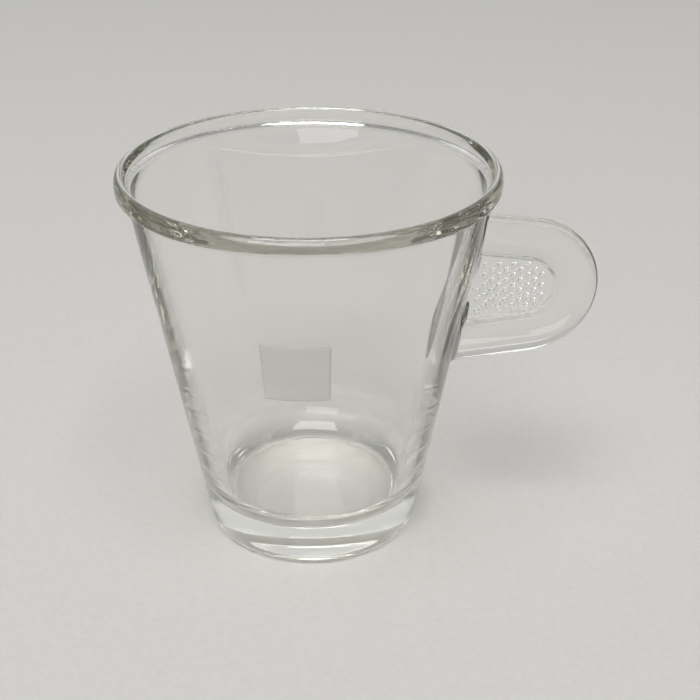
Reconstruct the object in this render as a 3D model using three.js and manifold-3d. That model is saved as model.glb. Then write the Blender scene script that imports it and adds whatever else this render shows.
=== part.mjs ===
// Glass espresso cup: a pressed bowl with a thick rounded heel, and a pressed tab handle fused to its wall.
// Millimetres, +Z up. The origin is on the cup's axis, on the flat foot. The handle points along +X.
import * as THREE from "three";
import { mergeVertices } from "three/addons/utils/BufferGeometryUtils.js";
import Module from "manifold-3d";

// Bowl, outside
const HEIGHT = 65; // foot to the top of the rim
const RIM_DIAMETER = 62; // over the bead
const BEAD_HEIGHT = 3;
const BEAD_DEPTH = 0.75; // the bead's widest line to its highest line, measured inwards
const BEAD_STEP = 1.6; // how far the bead stands out from the wall
const NECK_ROUND = 0.6; // crease between the wall and the bead
const FOOT_DIAMETER = 36.6; // where the wall's cone meets the table
const FOOT_ROUND = 0.9; // edge of the foot

// Bowl, inside
const FLOOR = 5.5; // thickness of the base in the middle
const HEEL_RADIUS = 6.5; // round between the floor and the wall
const HEEL_LEVEL = 12; // where the round runs into the wall
const HEEL_WALL = 3.4; // wall at that level, measured level
const NECK_WALL = 1.4; // wall under the bead
const FLARE_DROP = 4.3; // rim to the level at which the inside opens out
const FLARE_BLEND = 1.3; // softening of that line
const LIP_ROUND = 0.7; // inner edge of the rim

// Handle: a tab with tapered edges and a round end, upright in the plane of the cup's axis
const HANDLE_DROP = 22.2; // rim to the middle of the handle
const HANDLE_REACH = 48.6; // cup's axis to the end of the handle
const HANDLE_END_RADIUS = 12.35;
const HANDLE_TAPER = THREE.MathUtils.degToRad(7); // of each long edge
const HANDLE_THICKNESS = 4.4;
const HANDLE_EDGE_ROUND = 2.8; // how far the rounding reaches in from the edge
const HANDLE_EDGE_LAND = 0.4; // straight band left on the edge
const COLLAR_FLARE = 1; // how far the weld spreads onto the wall, all round the root
const COLLAR_THICKNESS = 0.7;
const SEAM = 0.3; // clearance between the handle's root and the wall

// Finger field: the sunk, studded area on each face of the handle
const FIELD_BORDER = 6.9; // edge of the handle to the field
const FIELD_ROOT = 1; // band left between the field and the root
const FIELD_CORNER = 1.5; // rounding of the two corners at the root
const FIELD_SLOPE = 0.5; // how far the field's wall leans
const WEB = 1.6; // glass between the two fields
const STUD_DIAMETER = 1.15;
const STUD_CROWN = 0.55; // diameter of a stud's top
const STUD_HEIGHT = 0.35;
const STUD_SINK = 0.1; // how deep a stud is rooted in the web
const STUD_PITCH = 2.4; // along a row
const STUD_ROWS = 0.95; // from row to row
const STUD_MARGIN = 0.2; // stud to the field's wall

// Fineness
const TURN_STEPS = 72; // facets round the bowl
const CURVE_STEPS = 8; // points on a curve of the bowl's profile
const END_STEPS = 20; // points on the handle's curves
const EDGE_STEPS = 5; // rings on the handle's rounded edge
const COLLAR_STEPS = 10; // points on each end of the weld
const STUD_SIDES = 6;

const rimRadius = RIM_DIAMETER / 2;
const lipRadius = rimRadius - BEAD_DEPTH; // highest line of the rim
const beadLevel = HEIGHT - BEAD_HEIGHT / 2;
const neckRadius = rimRadius - BEAD_STEP;
const neckLevel = HEIGHT - BEAD_HEIGHT;
const wallLean = (neckRadius - FOOT_DIAMETER / 2) / neckLevel;
const handleLevel = HEIGHT - HANDLE_DROP;
const endCentre = HANDLE_REACH - HANDLE_END_RADIUS;
const faceDepth = (HANDLE_THICKNESS - WEB) / 2;

const wasm = await Module();
wasm.setup();

// Radius of the bowl's outer cone at a height.
function wallRadius(z) {
  return FOOT_DIAMETER / 2 + wallLean * z;
}

// Half section of the bowl, from the middle of the foot round the rim to the middle of the floor.
function bowlProfile() {
  const innerNeck = neckRadius - NECK_WALL;
  const innerHeel = wallRadius(HEEL_LEVEL) - HEEL_WALL;
  const innerLean = (innerNeck - innerHeel) / (neckLevel - HEEL_LEVEL);
  const inner = (z) => new THREE.Vector2(innerHeel + innerLean * (z - HEEL_LEVEL), z);
  const flareFoot = inner(HEIGHT - FLARE_DROP);
  const flareTop = new THREE.Vector2(lipRadius - LIP_ROUND, HEIGHT);
  const flare = new THREE.Vector2().subVectors(flareTop, flareFoot).normalize();
  const flareStart = flareFoot.clone().addScaledVector(flare, FLARE_BLEND);
  const flareEnd = flareTop.clone().addScaledVector(flare, -LIP_ROUND);
  const wallTop = inner(HEIGHT - FLARE_DROP - FLARE_BLEND);
  const lean = Math.atan(innerLean);
  const heelMiddle = FLOOR + HEEL_RADIUS;
  const floorRadius = inner(heelMiddle).x - HEEL_RADIUS / Math.cos(lean);

  const path = new THREE.Path();
  path.moveTo(0, 0);
  path.lineTo(FOOT_DIAMETER / 2 - FOOT_ROUND, 0);
  path.quadraticCurveTo(FOOT_DIAMETER / 2, 0, wallRadius(FOOT_ROUND), FOOT_ROUND);
  path.lineTo(wallRadius(neckLevel - NECK_ROUND), neckLevel - NECK_ROUND);
  path.quadraticCurveTo(neckRadius, neckLevel, lipRadius, neckLevel);
  path.absellipse(
    lipRadius, beadLevel, BEAD_DEPTH, BEAD_HEIGHT / 2, -Math.PI / 2, Math.PI / 2, false, 0,
  );
  path.quadraticCurveTo(flareTop.x, flareTop.y, flareEnd.x, flareEnd.y);
  path.lineTo(flareStart.x, flareStart.y);
  path.quadraticCurveTo(flareFoot.x, flareFoot.y, wallTop.x, wallTop.y);
  path.absarc(floorRadius, heelMiddle, HEEL_RADIUS, -lean, -Math.PI / 2, true);
  path.lineTo(0, FLOOR);
  return path.getPoints(CURVE_STEPS);
}

// A profile turned about the Z axis.
function turned(points) {
  return new THREE.LatheGeometry(points, TURN_STEPS).rotateX(Math.PI / 2);
}

// A closed geometry as a solid that can be joined and cut.
function solidOf(geometry) {
  const bare = geometry.clone();
  bare.deleteAttribute("normal");
  bare.deleteAttribute("uv");
  const merged = mergeVertices(bare);
  const vertProperties = merged.attributes.position.array;
  const triVerts = new Uint32Array(merged.index.array);
  return new wasm.Manifold(new wasm.Mesh({ numProp: 3, vertProperties, triVerts }));
}

// A solid as a geometry again.
function geometryOf(solid) {
  const mesh = solid.getMesh();
  const geometry = new THREE.BufferGeometry();
  geometry.setAttribute("position", new THREE.BufferAttribute(mesh.vertProperties, 3));
  geometry.setIndex(new THREE.BufferAttribute(mesh.triVerts, 1));
  geometry.computeVertexNormals();
  return geometry;
}

// Half height of the handle at a distance from the cup's axis, with its outline moved in by inset.
function halfHeight(x, inset) {
  const end = (HANDLE_END_RADIUS - inset) / Math.cos(HANDLE_TAPER);
  return end + (endCentre - x) * Math.tan(HANDLE_TAPER);
}

// Point of the upper (side 1) or lower (side -1) edge of that outline.
function edgePoint(side, inset, x) {
  return new THREE.Vector2(x, handleLevel + side * halfHeight(x, inset));
}

// Where that edge meets the wall, or a line parallel to the wall and gap away from it.
function rootPoint(side, inset, gap) {
  const atWall = wallRadius(handleLevel + side * halfHeight(0, inset)) + gap;
  return edgePoint(side, inset, atWall / (1 + side * wallLean * Math.tan(HANDLE_TAPER)));
}

// The round end, from the lower edge to the upper one.
function addRoundEnd(shape, inset) {
  const turn = Math.PI / 2 - HANDLE_TAPER;
  shape.absarc(endCentre, handleLevel, HANDLE_END_RADIUS - inset, -turn, turn, false);
}

// Outline of the whole tab. It runs on into the bowl, whose wall trims it.
function tabShape() {
  const buried = rootPoint(-1, 0, 0).x - 2 * HANDLE_EDGE_ROUND;
  const low = edgePoint(-1, 0, buried);
  const high = edgePoint(1, 0, buried);
  const shape = new THREE.Shape();
  addRoundEnd(shape, 0);
  shape.lineTo(high.x, high.y);
  shape.lineTo(low.x, low.y);
  shape.closePath();
  return shape;
}

// Outline of a finger field at the handle's face.
function fieldShape() {
  const gap = SEAM + FIELD_ROOT;
  const low = rootPoint(-1, FIELD_BORDER, gap);
  const high = rootPoint(1, FIELD_BORDER, gap);
  const lowEdge = edgePoint(-1, FIELD_BORDER, low.x + FIELD_CORNER);
  const highEdge = edgePoint(1, FIELD_BORDER, high.x + FIELD_CORNER);
  const alongRoot = new THREE.Vector2().subVectors(high, low).setLength(FIELD_CORNER);
  const shape = new THREE.Shape();
  addRoundEnd(shape, FIELD_BORDER);
  shape.lineTo(highEdge.x, highEdge.y);
  shape.quadraticCurveTo(high.x, high.y, high.x - alongRoot.x, high.y - alongRoot.y);
  shape.lineTo(low.x + alongRoot.x, low.y + alongRoot.y);
  shape.quadraticCurveTo(low.x, low.y, lowEdge.x, lowEdge.y);
  shape.closePath();
  return shape;
}

// A shape drawn in the handle's plane, given a thickness and set at a place across the handle.
function acrossHandle(shape, options, middle) {
  const geometry = new THREE.ExtrudeGeometry(shape, { curveSegments: END_STEPS, ...options });
  geometry.translate(0, 0, -options.depth / 2);
  return geometry.rotateX(Math.PI / 2).translate(0, middle, 0);
}

// The tab with its rounded edge.
function tabBlank() {
  const edge = {
    depth: HANDLE_EDGE_LAND,
    bevelThickness: (HANDLE_THICKNESS - HANDLE_EDGE_LAND) / 2,
    bevelSize: HANDLE_EDGE_ROUND,
    bevelOffset: -HANDLE_EDGE_ROUND,
    bevelSegments: EDGE_STEPS,
  };
  return solidOf(acrossHandle(tabShape(), edge, 0));
}

// What is sunk into the face on one side of the handle.
function fieldCut(side) {
  const sunk = {
    depth: HANDLE_THICKNESS,
    bevelThickness: faceDepth,
    bevelSize: FIELD_SLOPE,
    bevelOffset: -FIELD_SLOPE,
    bevelSegments: 1,
  };
  const middle = WEB / 2 + faceDepth + HANDLE_THICKNESS / 2;
  return solidOf(acrossHandle(fieldShape(), sunk, side * middle));
}

// Whether a stud at this place stands clear of the field's walls.
function studFits(x, z) {
  const clear = FIELD_BORDER + FIELD_SLOPE + STUD_DIAMETER / 2 + STUD_MARGIN;
  const fromLevel = Math.abs(z - handleLevel);
  const root = wallRadius(z) + SEAM + FIELD_ROOT + FIELD_SLOPE + STUD_DIAMETER / 2 + STUD_MARGIN;
  if (x < root || fromLevel > halfHeight(x, clear)) return false;
  return x < endCentre || Math.hypot(x - endCentre, fromLevel) < HANDLE_END_RADIUS - clear;
}

// The studs of both fields, in staggered rows.
function studs() {
  const made = [];
  const rows = Math.floor(HANDLE_END_RADIUS / STUD_ROWS);
  const columns = Math.ceil(HANDLE_REACH / STUD_PITCH);
  const tall = STUD_HEIGHT + STUD_SINK;
  for (let row = -rows; row <= rows; row += 1) {
    for (let column = 0; column <= columns; column += 1) {
      const x = HANDLE_REACH - (column + (row % 2 ? 0.5 : 0)) * STUD_PITCH;
      const z = handleLevel + row * STUD_ROWS;
      if (!studFits(x, z)) continue;
      for (const side of [-1, 1]) {
        const stud = new THREE.CylinderGeometry(STUD_CROWN / 2, STUD_DIAMETER / 2, tall, STUD_SIDES);
        if (side < 0) stud.rotateX(Math.PI);
        stud.translate(x, side * (WEB / 2 - STUD_SINK + tall / 2), z);
        made.push(solidOf(stud));
      }
    }
  }
  return made;
}

// The space that the bowl takes up, widened all round by a clearance.
function bowlEnvelope(clearance) {
  const beyond = HANDLE_END_RADIUS;
  const underBead = neckLevel - clearance;
  return solidOf(
    turned([
      new THREE.Vector2(0, -beyond),
      new THREE.Vector2(wallRadius(-beyond) + clearance, -beyond),
      new THREE.Vector2(wallRadius(underBead) + clearance, underBead),
      new THREE.Vector2(rimRadius + clearance, underBead),
      new THREE.Vector2(rimRadius + clearance, HEIGHT + beyond),
      new THREE.Vector2(0, HEIGHT + beyond),
    ]),
  );
}

// The weld: a thin collar that lies on the wall round the handle's root.
function weldCollar() {
  const half = HANDLE_THICKNESS / 2 + COLLAR_FLARE;
  const low = rootPoint(-1, 0, 0).y - COLLAR_FLARE;
  const high = rootPoint(1, 0, 0).y + COLLAR_FLARE;
  const shape = new THREE.Shape();
  shape.absarc(0, high - half, half, 0, Math.PI, false);
  shape.absarc(0, low + half, half, Math.PI, 2 * Math.PI, false);
  const options = { depth: HANDLE_REACH, bevelEnabled: false, curveSegments: COLLAR_STEPS };
  const plug = new THREE.ExtrudeGeometry(shape, options);
  plug.rotateX(Math.PI / 2).rotateZ(Math.PI / 2);
  return solidOf(plug).intersect(bowlEnvelope(SEAM + COLLAR_THICKNESS));
}

function makeBowl() {
  const glass = new THREE.MeshStandardMaterial({
    color: 0xe9eeea, roughness: 0.04, metalness: 0, transparent: true, opacity: 0.35,
  });
  const bowl = new THREE.Mesh(turned(bowlProfile()), glass);
  bowl.name = "bowl";
  return bowl;
}

function makeHandle() {
  const glass = new THREE.MeshStandardMaterial({
    color: 0xe6ebe8, roughness: 0.07, metalness: 0, transparent: true, opacity: 0.35,
  });
  let solid = tabBlank().subtract(fieldCut(-1)).subtract(fieldCut(1));
  for (const stud of studs()) solid = solid.add(stud);
  solid = solid.add(weldCollar()).subtract(bowlEnvelope(SEAM));
  const handle = new THREE.Mesh(geometryOf(solid), glass);
  handle.name = "handle";
  return handle;
}

const cup = new THREE.Group();
cup.add(makeBowl(), makeHandle());

export default cup;
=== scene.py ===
"""Looks of the glass espresso cup: clear pressed glass on pale paper, in the part's own frame."""

from math import atan, cos, pi, radians, sin, tan

import bpy
import numpy as np
from mathutils import Matrix, Vector


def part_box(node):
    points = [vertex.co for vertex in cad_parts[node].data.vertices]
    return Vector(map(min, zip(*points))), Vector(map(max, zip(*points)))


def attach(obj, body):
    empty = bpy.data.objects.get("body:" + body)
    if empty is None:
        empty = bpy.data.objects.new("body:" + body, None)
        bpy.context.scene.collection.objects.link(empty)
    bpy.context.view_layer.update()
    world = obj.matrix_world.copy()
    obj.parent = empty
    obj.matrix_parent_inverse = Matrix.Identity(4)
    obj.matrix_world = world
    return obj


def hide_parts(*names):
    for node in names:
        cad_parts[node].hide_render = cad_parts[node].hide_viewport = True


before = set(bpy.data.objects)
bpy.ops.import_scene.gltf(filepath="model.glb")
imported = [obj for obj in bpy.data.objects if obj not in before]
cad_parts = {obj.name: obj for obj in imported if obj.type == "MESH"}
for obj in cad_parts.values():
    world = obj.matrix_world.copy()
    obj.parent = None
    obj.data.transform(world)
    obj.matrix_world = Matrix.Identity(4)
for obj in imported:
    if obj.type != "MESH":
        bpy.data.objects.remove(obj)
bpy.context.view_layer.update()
bowl_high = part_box("bowl")[1]
handle_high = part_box("handle")[1]

# The pieces are drawn in millimetres and turned into metres when their meshes are made.
MM = 0.001

# Bowl, outside
HEIGHT = bowl_high.z / MM
RIM_RADIUS = bowl_high.x / MM
BEAD_HEIGHT = 3.0
BEAD_FULLNESS = 3.6  # of the bead's lower half: 2 is an ellipse, more is boxier
NECK_RADIUS = 29.4
NECK_ROUND = 0.6
FOOT_RADIUS = 18.3
FOOT_ROUND = 0.9
HOLLOW_RADIUS = 14.0  # of the shallow hollow under the foot
HOLLOW_DEPTH = 0.4
HOLLOW_ROUND = 2.0

# Bowl, inside
FLOOR = 5.5
HEEL_RADIUS = 6.5
HEEL_LEVEL = 12.0  # where the round runs into the wall
HEEL_WALL = 3.4
NECK_WALL = 1.4
LIP_TOP = 30.2  # radius of the rim's highest line
LIP_ROUND = 0.45  # how far the top's round reaches inwards
FLARE_FOOT = 61.4  # level at which the inside starts to open out
FLARE_BLEND = 0.9

# Handle
HANDLE_DROP = 22.2
HANDLE_REACH = handle_high.x / MM
END_RADIUS = 12.35
TAPER = radians(7)
THICKNESS = 4.4
CREST = 5.6  # edge of the handle to its thickest line
CREST_SOFTNESS = 0.4
BORDER_SLOPE = tan(radians(14))  # fall of each face from the crest to the field
FIELD_BORDER = 6.9
FIELD_ROOT = 0.8
FIELD_SLOPE = 0.7
WEB = 1.6
SPINE_HALF = 0.3  # half width of the plain strip along the middle of the web
STUD_RADIUS = 0.62
STUD_HEIGHT = 0.42
STUD_PITCH = 2.4
STUD_ROWS = 0.95
STUD_MARGIN = 0.15
WELD_SPREAD = 0.8
WELD_LENGTH = 1.3
WELD_DEPTH = 0.4  # how far the handle's root reaches into the wall

# Frosted square on the wall
SQUARE_LOW = 35.6
SQUARE_HIGH = 45.85
SQUARE_FROM = radians(-108.6)
SQUARE_TO = radians(-85.0)
FROST_LIFT = 0.02
FROST_THICKNESS = 0.03

# Fineness
TURN_STEPS = 288
CURVE_STEPS = 28
WALL_STEPS = 48
EDGE_RINGS = 26
BORDER_RINGS = 18
SLOPE_RINGS = 16
WEB_RINGS = 58
SPINE_STEPS = 30
LONG_STEPS = 120
END_STEPS = 240
SQUARE_STEPS = 24
SHEET_STEPS = 24
LIGHT_BOUNCES = 256  # light runs a long way inside the wall and the rim before it leaves the glass

# Glass. The ripple's height is in metres, and its scale and the density are for each metre.
GLASS_TINT = (0.99, 0.987, 0.98, 1)
GLASS_IOR = 1.51
GLASS_DEPTH_COLOUR = (0.84, 0.84, 0.81, 1)
GLASS_DENSITY = 38.0
RIPPLE_HEIGHT = 0.00001
RIPPLE_DETAIL = 1.0
BOWL_RIPPLE_SCALE = 60.0
HANDLE_RIPPLE_SCALE = 90.0

# Etched square: how much of it covers, from its thinnest to its densest grain
FROST_COLOUR = (0.66, 0.65, 0.615, 1)
FROST_ROUGHNESS = 0.8
FROST_GRAIN_SCALE = 9000.0
FROST_GRAIN_DETAIL = 2.0
FROST_THIN = 0.42
FROST_DENSE = 0.62

# Paper, and the sheet's sizes in metres
PAPER_DARK = (0.565, 0.556, 0.532, 1)
PAPER_LIGHT = (0.635, 0.626, 0.602, 1)
PAPER_ROUGHNESS = 0.9
PAPER_GLOSS = 0.1
PAPER_MOTTLE_SCALE = 900.0
PAPER_MOTTLE_DETAIL = 3.0
SHEET_HALF_WIDTH = 2.0
SHEET_NEAR = -2.0
SHEET_FAR = 0.85
SHEET_BEND = 0.25  # radius of its rise behind the cup
SHEET_TOP = 0.3
SHEET_GAP = 0.2 * MM  # foot to sheet

# Light: azimuth from +X towards +Y, elevation, distance and size in metres, radiance
ROOM = (0.32, 0.32, 0.32, 1)
LAMPS = {
    "overhead_lamp": (radians(-100), radians(70), 1.2, (0.8, 0.6), 6.2),
    "pale_wall": (radians(90), radians(42), 1.6, (5.0, 1.3), 0.5),
    "window": (radians(-105), radians(18), 1.5, (1.1, 0.6), 2.4),
}

# Camera: place in metres, lens and sensor in millimetres
CAMERA_PLACE = (-0.00516, -0.19713, 0.1359)
CAMERA_YAW = radians(-3.42)
CAMERA_TILT = radians(62.08)  # from looking straight down
CAMERA_ROLL = radians(0.16)
CAMERA_LENS = 66.86
CAMERA_SENSOR = 36.0
CAMERA_CLIP = 0.01

bead_level = HEIGHT - BEAD_HEIGHT / 2
neck_level = HEIGHT - BEAD_HEIGHT
wall_lean = (NECK_RADIUS - FOOT_RADIUS) / neck_level
handle_level = HEIGHT - HANDLE_DROP
end_centre = HANDLE_REACH - END_RADIUS


def wall_radius(z):
    """Radius of the bowl's outer cone at a height."""
    return FOOT_RADIUS + wall_lean * z


def line(start, end, steps):
    """Points from start to end, closer together at both ends."""
    t = (1 - np.cos(np.linspace(0, pi, steps + 1)))[:, None] / 2
    return np.array(start) * (1 - t) + np.array(end) * t


def curve(points, steps):
    """Points of a quadratic or cubic Bezier curve."""
    t = np.linspace(0, 1, steps + 1)[:, None]
    points = [np.array(p, float) for p in points]
    while len(points) > 1:
        points = [a * (1 - t) + b * t for a, b in zip(points, points[1:])]
    return points[0]


def arc(centre, radii, start, end, steps):
    """Points of an elliptical arc."""
    a = np.linspace(start, end, steps + 1)
    return np.stack([centre[0] + radii[0] * np.cos(a), centre[1] + radii[1] * np.sin(a)], -1)


def full_quarter(centre, radii, fullness, steps):
    """Points of a quarter of a superellipse, from its lowest point to its widest."""
    a = np.linspace(0, pi / 2, steps + 1)
    across = np.sin(a) ** (2 / fullness)
    down = np.cos(a) ** (2 / fullness)
    return np.stack([centre[0] + radii[0] * across, centre[1] - radii[1] * down], -1)


def joined(stretches):
    """One row of points from stretches that share their end points."""
    return np.concatenate([stretches[0]] + [s[1:] for s in stretches[1:]])


def bowl_profile():
    """Half section of the bowl, from the middle of the foot round the rim to the middle of the floor."""
    inner_neck = NECK_RADIUS - NECK_WALL
    inner_heel = wall_radius(HEEL_LEVEL) - HEEL_WALL
    inner_lean = (inner_neck - inner_heel) / (neck_level - HEEL_LEVEL)
    neck_foot = neck_level - NECK_ROUND

    def inner(z):
        return (inner_heel + inner_lean * (z - HEEL_LEVEL), z)

    def outer(z):
        return (wall_radius(z), z)

    bead = (LIP_TOP, bead_level)
    bead_size = (RIM_RADIUS - LIP_TOP, BEAD_HEIGHT / 2)
    flare_foot = np.array(inner(FLARE_FOOT))
    flare_top = np.array((LIP_TOP - LIP_ROUND, HEIGHT))
    flare = (flare_top - flare_foot) / np.hypot(*(flare_top - flare_foot))
    flare_start = flare_foot + flare * FLARE_BLEND
    flare_end = flare_top - flare * LIP_ROUND
    hollow_middle = (0, HOLLOW_DEPTH)
    hollow_side = (HOLLOW_RADIUS / 2, HOLLOW_DEPTH)
    hollow_edge = (HOLLOW_RADIUS - HOLLOW_ROUND, 0)
    lean = atan(inner_lean)
    heel_middle = FLOOR + HEEL_RADIUS
    floor_radius = inner(heel_middle)[0] - HEEL_RADIUS / cos(lean)
    heel = arc((floor_radius, heel_middle), (HEEL_RADIUS, HEEL_RADIUS), -lean, -pi / 2, 2 * CURVE_STEPS)
    return joined([
        curve([hollow_middle, hollow_side, hollow_edge, (HOLLOW_RADIUS, 0)], WALL_STEPS),
        line((HOLLOW_RADIUS, 0), (FOOT_RADIUS - FOOT_ROUND, 0), CURVE_STEPS),
        curve([(FOOT_RADIUS - FOOT_ROUND, 0), (FOOT_RADIUS, 0), outer(FOOT_ROUND)], CURVE_STEPS),
        line(outer(FOOT_ROUND), outer(neck_foot), WALL_STEPS),
        curve([outer(neck_foot), outer(neck_level), (LIP_TOP, neck_level)], CURVE_STEPS),
        full_quarter(bead, bead_size, BEAD_FULLNESS, CURVE_STEPS),
        arc(bead, bead_size, 0, pi / 2, CURVE_STEPS),
        curve([(LIP_TOP, HEIGHT), flare_top, flare_end], CURVE_STEPS),
        line(flare_end, flare_start, CURVE_STEPS),
        curve([flare_start, flare_foot, inner(FLARE_FOOT - FLARE_BLEND)], CURVE_STEPS),
        line(inner(FLARE_FOOT - FLARE_BLEND), heel[0], WALL_STEPS),
        heel,
        line(heel[-1], (0, FLOOR), CURVE_STEPS),
    ])


def add_piece(name, points, faces, material):
    """A smooth mesh piece from points in millimetres, fixed to the part."""
    mesh = bpy.data.meshes.new(name)
    mesh.from_pydata((np.asarray(points) * MM).tolist(), [], [list(f) for f in faces])
    mesh.validate()
    mesh.shade_smooth()
    mesh.materials.append(material)
    piece = bpy.data.objects.new(name, mesh)
    bpy.context.scene.collection.objects.link(piece)
    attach(piece, "root")
    return piece


def make_bowl(material):
    """The bowl's section turned about the cup's axis."""
    profile = bowl_profile()
    ring = profile[1:-1]
    rings = len(ring)
    turn = np.arange(TURN_STEPS) * 2 * pi / TURN_STEPS
    x = np.cos(turn)[:, None] * ring[:, 0]
    y = np.sin(turn)[:, None] * ring[:, 0]
    z = np.broadcast_to(ring[:, 1], x.shape)
    points = np.stack([x, y, z], -1).reshape(-1, 3)
    foot, floor = len(points), len(points) + 1
    points = np.vstack([points, [0, 0, profile[0, 1]], [0, 0, profile[-1, 1]]])
    faces = []
    for i in range(TURN_STEPS):
        a = i * rings
        b = (i + 1) % TURN_STEPS * rings
        faces += [(a + k, b + k, b + k + 1, a + k + 1) for k in range(rings - 1)]
        faces += [(foot, b, a), (floor, a + rings - 1, b + rings - 1)]
    bowl = add_piece("cup_bowl", points, faces, material)
    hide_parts("bowl")


def handle_ring(inset):
    """The handle's outline moved in by inset, from the upper root round the end to the lower root."""
    half_root = (END_RADIUS - inset) / cos(TAPER) + end_centre * tan(TAPER)
    upper_root = (wall_radius(handle_level + half_root) - WELD_DEPTH) / (1 + wall_lean * tan(TAPER))
    lower_root = (wall_radius(handle_level - half_root) - WELD_DEPTH) / (1 - wall_lean * tan(TAPER))
    turn = pi / 2 - TAPER
    end = arc((end_centre, 0), (END_RADIUS - inset, END_RADIUS - inset), turn, -turn, END_STEPS)
    upper = (upper_root, half_root - upper_root * tan(TAPER))
    lower = (lower_root, lower_root * tan(TAPER) - half_root)
    return joined([line(upper, end[0], LONG_STEPS), end, line(end[-1], lower, LONG_STEPS)])


def smooth_step(t):
    """A soft rise from 0 to 1 as t goes from 0 to 1."""
    t = np.clip(t, 0, 1)
    return t * t * (3 - 2 * t)


def edge_inset(x, z):
    """Distance from the handle's edge inwards, in the handle's plane."""
    beyond = (x - end_centre) * cos(TAPER) - np.abs(z) * sin(TAPER)
    from_axis = (x - end_centre) * sin(TAPER) + np.abs(z) * cos(TAPER)
    return END_RADIUS - np.where(beyond > 0, np.hypot(x - end_centre, z), from_axis)


def field_inset(x, z):
    """Distance from the edge of the finger field inwards, at the handle's face."""
    from_root = x - wall_radius(z + handle_level) - FIELD_ROOT
    return np.minimum(edge_inset(x, z) - FIELD_BORDER, from_root)


def stud_relief(x, z):
    """Height over the web of the round studs, which stand in staggered rows."""
    row = np.round(z / STUD_ROWS)
    relief = np.zeros_like(x)
    for step in (-1, 0, 1):
        near_row = row + step
        shift = np.where(near_row % 2 == 1, 0.5, 0.0)
        column = np.round((HANDLE_REACH - x) / STUD_PITCH - shift) + shift
        stud_x = HANDLE_REACH - column * STUD_PITCH
        stud_z = near_row * STUD_ROWS
        fits = field_inset(stud_x, stud_z) > FIELD_SLOPE + STUD_RADIUS + STUD_MARGIN
        r = np.hypot(x - stud_x, z - stud_z) / STUD_RADIUS
        dome = np.where(fits & (r < 1), (1 - r * r) ** 2, 0)
        relief = np.maximum(relief, dome)
    return STUD_HEIGHT * relief


def weld_spread(x, z):
    """How far the weld spreads at places in the handle's plane: most at the wall."""
    from_wall = x - wall_radius(z + handle_level)
    return WELD_SPREAD * np.clip(1 - from_wall / WELD_LENGTH, 0, 1) ** 2


def handle_half_thickness(x, z):
    """Half thickness of the handle at places in its plane, with its crowned border and sunk field."""
    crest = THICKNESS / 2
    inset = edge_inset(x, z)
    toward_edge = np.clip((CREST - inset) / CREST, 0, 1)
    past_crest = np.clip(inset - CREST, 0, None)
    fall = BORDER_SLOPE * (np.hypot(past_crest, CREST_SOFTNESS) - CREST_SOFTNESS)
    border = crest * np.sqrt(1 - toward_edge ** 2) - fall
    sunk = WEB / 2 + stud_relief(x, z)
    half = border + (sunk - border) * smooth_step(field_inset(x, z) / FIELD_SLOPE)
    return half + weld_spread(x, z) * np.clip(half / crest, 0, 1)


def handle_insets():
    """Insets of the handle's rings: the rounded edge, the border, the field's wall and the web."""
    edge = CREST * (1 - np.cos(np.linspace(0, pi / 2, EDGE_RINGS + 1)))
    border = np.linspace(CREST, FIELD_BORDER, BORDER_RINGS + 1)[1:]
    slope = FIELD_BORDER + FIELD_SLOPE * np.linspace(0, 1, SLOPE_RINGS + 1)[1:]
    web = np.linspace(FIELD_BORDER + FIELD_SLOPE, END_RADIUS - SPINE_HALF, WEB_RINGS + 1)[1:]
    return np.concatenate([edge, border, slope, web])


def make_handle(material):
    """The tab handle: rings from its edge to the middle of each face, and a strip across the middle."""
    insets = handle_insets()
    rings = [handle_ring(inset) for inset in insets]
    count = len(rings[0])
    half = count // 2 + 1
    flat = np.stack(rings)
    across = np.linspace(0, 1, SPINE_STEPS + 1)[1:-1, None, None]
    last = flat[-1]
    spine = last[:half] * (1 - across) + last[::-1][:half] * across
    x = np.concatenate([flat[..., 0].ravel(), spine[..., 0].ravel()])
    z = np.concatenate([flat[..., 1].ravel(), spine[..., 1].ravel()])
    y = handle_half_thickness(x, z)
    z = z + np.sign(z) * weld_spread(x, z) * np.clip(1 - edge_inset(x, z) / CREST, 0, 1)
    one_face = len(x)
    ring_count = len(insets)

    def grid(k, i):
        return k * count + i

    def strip(k, i):
        """Point k of the strip that crosses the middle at column i."""
        if k == 0:
            return grid(ring_count - 1, i)
        if k == SPINE_STEPS:
            return grid(ring_count - 1, count - 1 - i)
        return ring_count * count + (k - 1) * half + i

    face = [(grid(k, i), grid(k, i + 1), grid(k + 1, i + 1), grid(k + 1, i))
            for k in range(ring_count - 1) for i in range(count - 1)]
    face += [(strip(k, i), strip(k, i + 1), strip(k + 1, i + 1), strip(k + 1, i))
             for k in range(SPINE_STEPS) for i in range(half - 2)]
    face += [(strip(k, half - 2), grid(ring_count - 1, half - 1), strip(k + 1, half - 2))
             for k in range(SPINE_STEPS)]
    root = [grid(k, 0) for k in range(ring_count)]
    root += [strip(k, 0) for k in range(1, SPINE_STEPS)]
    root += [grid(k, count - 1) for k in range(ring_count - 1, -1, -1)]

    def far(i):
        """The same point on the far face. The outermost ring is shared by both faces."""
        return i if i < count else i + one_face

    faces = [tuple(reversed(f)) for f in face]
    faces += [tuple(far(i) for i in f) for f in face]
    faces += [tuple(dict.fromkeys((a, b, far(b), far(a)))) for a, b in zip(root, root[1:])]
    near_points = np.stack([x, -y, z + handle_level], -1)
    far_points = near_points * (1, -1, 1)
    handle = add_piece("cup_handle", np.vstack([near_points, far_points]), faces, material)
    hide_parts("handle")


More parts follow.
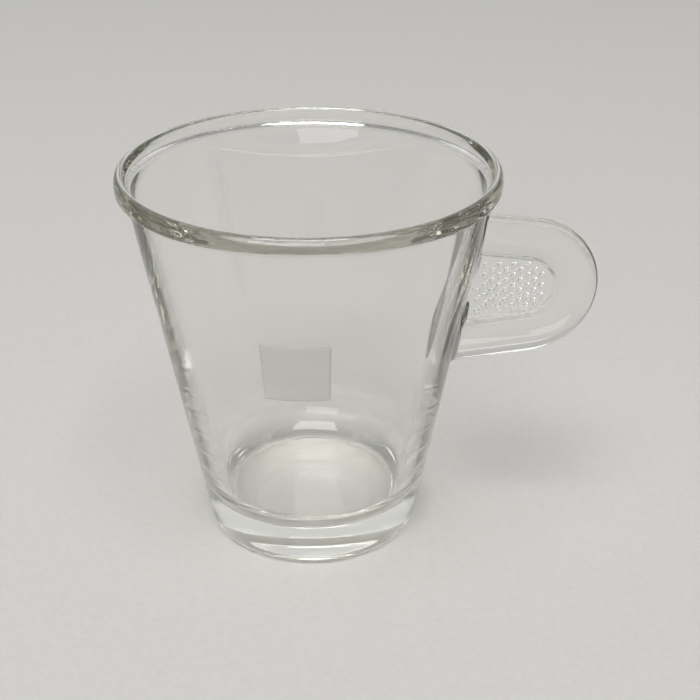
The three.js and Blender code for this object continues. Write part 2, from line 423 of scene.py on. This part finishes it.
def make_square(material):
    """The bare frosted square, a thin etched layer on the outside of the wall."""
    turn = np.linspace(SQUARE_FROM, SQUARE_TO, SQUARE_STEPS + 1)
    level = np.linspace(SQUARE_LOW, SQUARE_HIGH, SQUARE_STEPS + 1)
    turn, level = np.meshgrid(turn, level)
    points = []
    for lift in (FROST_LIFT, FROST_LIFT + FROST_THICKNESS):
        radius = wall_radius(level) + lift
        layer = np.stack([radius * np.cos(turn), radius * np.sin(turn), level], -1)
        points.append(layer.reshape(-1, 3))
    side = SQUARE_STEPS + 1
    layer_size = side * side
    faces = []
    for k in range(SQUARE_STEPS):
        for i in range(SQUARE_STEPS):
            a = k * side + i
            inner = (a, a + side, a + side + 1, a + 1)
            faces += [inner, tuple(p + layer_size for p in reversed(inner))]
    bottom = list(range(side))
    right = [k * side + SQUARE_STEPS for k in range(side)]
    top = [SQUARE_STEPS * side + i for i in reversed(range(side))]
    left = [k * side for k in reversed(range(side))]
    for edge in (bottom, right, top, left):
        faces += [(a, b, b + layer_size, a + layer_size) for a, b in zip(edge, edge[1:])]
    square = add_piece("frosted_square", np.vstack(points), faces, material)


def new_material(name):
    """An empty node material, its node tree and its output."""
    material = bpy.data.materials.new(name)
    material.use_nodes = True
    tree = material.node_tree
    tree.nodes.clear()
    return material, tree, tree.nodes.new("ShaderNodeOutputMaterial")


def object_noise(tree, scale, detail):
    """A noise pattern fixed to the piece, with its scale for each metre."""
    place = tree.nodes.new("ShaderNodeTexCoord")
    noise = tree.nodes.new("ShaderNodeTexNoise")
    noise.inputs["Scale"].default_value = scale
    noise.inputs["Detail"].default_value = detail
    tree.links.new(place.outputs["Object"], noise.inputs["Vector"])
    return noise


def glass(name, ripple_scale):
    """Clear soda-lime glass with a faint olive depth and the soft ripple of a pressed surface."""
    material, tree, output = new_material(name)
    shader = tree.nodes.new("ShaderNodeBsdfPrincipled")
    shader.inputs["Base Color"].default_value = GLASS_TINT
    shader.inputs["Roughness"].default_value = 0.0
    shader.inputs["IOR"].default_value = GLASS_IOR
    shader.inputs["Transmission Weight"].default_value = 1.0
    noise = object_noise(tree, ripple_scale, RIPPLE_DETAIL)
    bump = tree.nodes.new("ShaderNodeBump")
    bump.inputs["Strength"].default_value = 1.0
    bump.inputs["Distance"].default_value = RIPPLE_HEIGHT
    tree.links.new(noise.outputs["Fac"], bump.inputs["Height"])
    tree.links.new(bump.outputs["Normal"], shader.inputs["Normal"])
    depth = tree.nodes.new("ShaderNodeVolumeAbsorption")
    depth.inputs["Color"].default_value = GLASS_DEPTH_COLOUR
    depth.inputs["Density"].default_value = GLASS_DENSITY
    tree.links.new(shader.outputs["BSDF"], output.inputs["Surface"])
    tree.links.new(depth.outputs["Volume"], output.inputs["Volume"])
    return material


def frost():
    """Etched glass: a fine pale grain that covers about half of the wall behind it."""
    material, tree, output = new_material("frosted_glass")
    shader = tree.nodes.new("ShaderNodeBsdfPrincipled")
    shader.inputs["Base Color"].default_value = FROST_COLOUR
    shader.inputs["Roughness"].default_value = FROST_ROUGHNESS
    noise = object_noise(tree, FROST_GRAIN_SCALE, FROST_GRAIN_DETAIL)
    grain = tree.nodes.new("ShaderNodeMapRange")
    grain.inputs["To Min"].default_value = FROST_THIN
    grain.inputs["To Max"].default_value = FROST_DENSE
    tree.links.new(noise.outputs["Fac"], grain.inputs["Value"])
    tree.links.new(grain.outputs["Result"], shader.inputs["Alpha"])
    tree.links.new(shader.outputs["BSDF"], output.inputs["Surface"])
    return material


def paper():
    """Pale uncoated paper with a fine mottle."""
    material, tree, output = new_material("paper")
    shader = tree.nodes.new("ShaderNodeBsdfPrincipled")
    mottle = object_noise(tree, PAPER_MOTTLE_SCALE, PAPER_MOTTLE_DETAIL)
    tint = tree.nodes.new("ShaderNodeMix")
    tint.data_type = "RGBA"
    tint.inputs["A"].default_value = PAPER_DARK
    tint.inputs["B"].default_value = PAPER_LIGHT
    tree.links.new(mottle.outputs["Fac"], tint.inputs["Factor"])
    tree.links.new(tint.outputs["Result"], shader.inputs["Base Color"])
    shader.inputs["Roughness"].default_value = PAPER_ROUGHNESS
    shader.inputs["Specular IOR Level"].default_value = PAPER_GLOSS
    tree.links.new(shader.outputs["BSDF"], output.inputs["Surface"])
    return material


def make_floor():
    """The sheet that the cup stands on, a hair under the foot, which rises behind the cup."""
    bend_centre = (SHEET_FAR - SHEET_BEND, SHEET_BEND - SHEET_GAP)
    bend = arc(bend_centre, (SHEET_BEND, SHEET_BEND), -pi / 2, 0, SHEET_STEPS)
    sweep = [(SHEET_NEAR, -SHEET_GAP), (0, -SHEET_GAP)]
    sweep += bend.tolist() + [(SHEET_FAR, SHEET_TOP)]
    points = [(x, y, z) for y, z in sweep for x in (-SHEET_HALF_WIDTH, SHEET_HALF_WIDTH)]
    faces = [(2 * k, 2 * k + 1, 2 * k + 3, 2 * k + 2) for k in range(len(sweep) - 1)]
    mesh = bpy.data.meshes.new("paper_floor")
    mesh.from_pydata(points, [], faces)
    mesh.shade_smooth()
    mesh.materials.append(paper())
    floor = bpy.data.objects.new("paper_floor", mesh)
    bpy.context.scene.collection.objects.link(floor)


def add_lamp(name, azimuth, elevation, distance, size, radiance):
    """A rectangular soft lamp that faces the cup."""
    data = bpy.data.lights.new(name, "AREA")
    data.shape = "RECTANGLE"
    data.size, data.size_y = size
    data.energy = radiance * pi * size[0] * size[1]
    lamp = bpy.data.objects.new(name, data)
    towards = Vector((cos(azimuth) * cos(elevation), sin(azimuth) * cos(elevation), sin(elevation)))
    aim = Vector((0, 0, HEIGHT / 2 * MM))
    lamp.location = aim + towards * distance
    lamp.rotation_euler = towards.to_track_quat("Z", "Y").to_euler()
    lamp.visible_camera = False
    bpy.context.scene.collection.objects.link(lamp)


def make_world():
    """A dim room."""
    world = bpy.data.worlds.new("room")
    world.use_nodes = True
    background = world.node_tree.nodes["Background"]
    background.inputs["Color"].default_value = ROOM
    background.inputs["Strength"].default_value = 1.0
    bpy.context.scene.world = world


def make_camera():
    """The photograph's viewpoint."""
    data = bpy.data.cameras.new("camera")
    data.sensor_width = CAMERA_SENSOR
    data.lens = CAMERA_LENS
    data.clip_start = CAMERA_CLIP
    camera = bpy.data.objects.new("camera", data)
    place = Matrix.Translation(CAMERA_PLACE)
    turn = Matrix.Rotation(CAMERA_YAW, 4, "Z") @ Matrix.Rotation(CAMERA_TILT, 4, "X")
    roll = Matrix.Rotation(CAMERA_ROLL, 4, "Z")
    camera.matrix_world = place @ turn @ roll
    bpy.context.scene.collection.objects.link(camera)
    bpy.context.scene.camera = camera


scene = bpy.context.scene
scene.view_settings.view_transform = "Standard"
scene.cycles.max_bounces = LIGHT_BOUNCES
scene.cycles.glossy_bounces = LIGHT_BOUNCES
scene.cycles.transmission_bounces = LIGHT_BOUNCES
scene.cycles.blur_glossy = 0.0

make_camera()
make_bowl(glass("bowl_clear_glass", BOWL_RIPPLE_SCALE))
make_handle(glass("handle_clear_glass", HANDLE_RIPPLE_SCALE))
make_square(frost())
make_floor()
make_world()
for lamp_name, lamp_values in LAMPS.items():
    add_lamp(lamp_name, *lamp_values)
